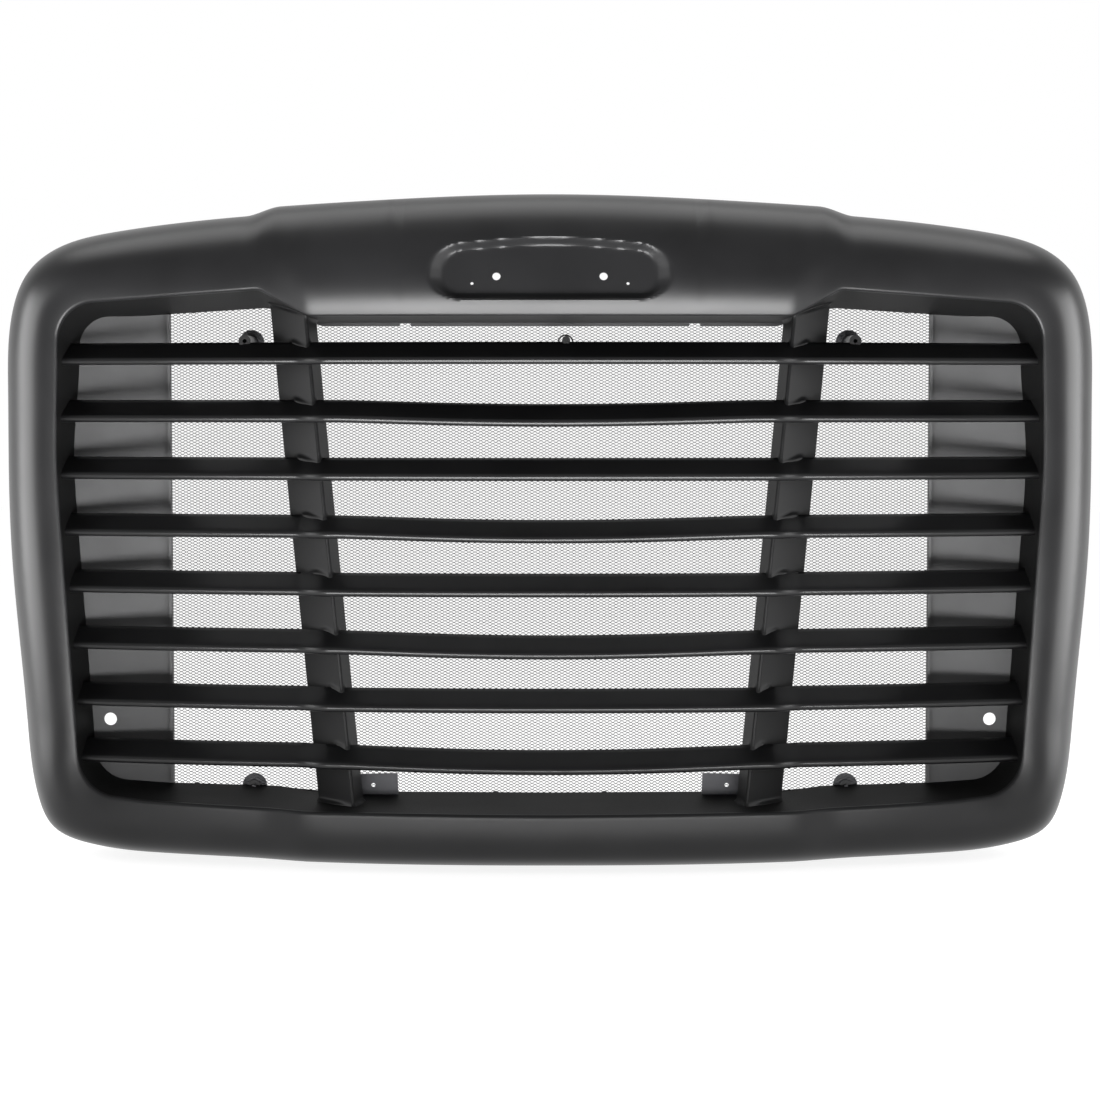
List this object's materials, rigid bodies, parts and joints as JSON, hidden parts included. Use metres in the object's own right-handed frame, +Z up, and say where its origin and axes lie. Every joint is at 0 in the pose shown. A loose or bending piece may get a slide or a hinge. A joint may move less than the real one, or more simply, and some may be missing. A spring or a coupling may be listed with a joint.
{
  "type": "front grille",
  "caption": "Satin black truck front grille with a bowed surround, horizontal louvre bars, two leaning pillars and a mesh bug screen.",
  "frame": {"origin": "centre of the rectangle of the four side hood studs, on the rear face of the surround's flange", "axes": "+X to the right seen from the front, -Y to the front, +Z up"},
  "size_m": [1.2004, 0.206, 0.7181],
  "materials": {
    "surround_plastic": "satin black moulded plastic",
    "louvre_plastic": "satin black moulded plastic",
    "panel_plastic": "fine-grained dark grey plastic",
    "screen_steel": "black coated expanded metal",
    "coated_steel": "matt black coated steel strip",
    "bracket_steel": "dark grey coated steel",
    "washer_steel": "black coated steel",
    "fastener_steel": "black oxide steel",
    "stud_steel": "zinc plated steel",
    "grommet_rubber": "black rubber"
  },
  "bodies": {
    "root": {"surround": "surround_plastic", "side_panel_left": "panel_plastic", "side_panel_right": "panel_plastic", "pillar_left": "louvre_plastic", "pillar_right": "louvre_plastic", "screen_mesh": "screen_steel", "screen_rail_top": "coated_steel", "screen_rail_bottom": "coated_steel", "lower_bracket_left": "bracket_steel", "lower_bracket_right": "bracket_steel", "bracket_rivets": "fastener_steel", "hood_studs": "stud_steel", "panel_screws": "fastener_steel", "screen_screws": "fastener_steel", "washer_screws": "fastener_steel", "screen_washers": "washer_steel", "screen_bosses": "louvre_plastic", "locating_pin": "louvre_plastic", "pin_grommet": "grommet_rubber", "louvre_bar_1": "louvre_plastic", "louvre_bar_2": "louvre_plastic", "louvre_bar_3": "louvre_plastic", "louvre_bar_4": "louvre_plastic", "louvre_bar_5": "louvre_plastic", "louvre_bar_6": "louvre_plastic", "louvre_bar_7": "louvre_plastic", "louvre_bar_8": "louvre_plastic"}
  },
  "joints": []
}
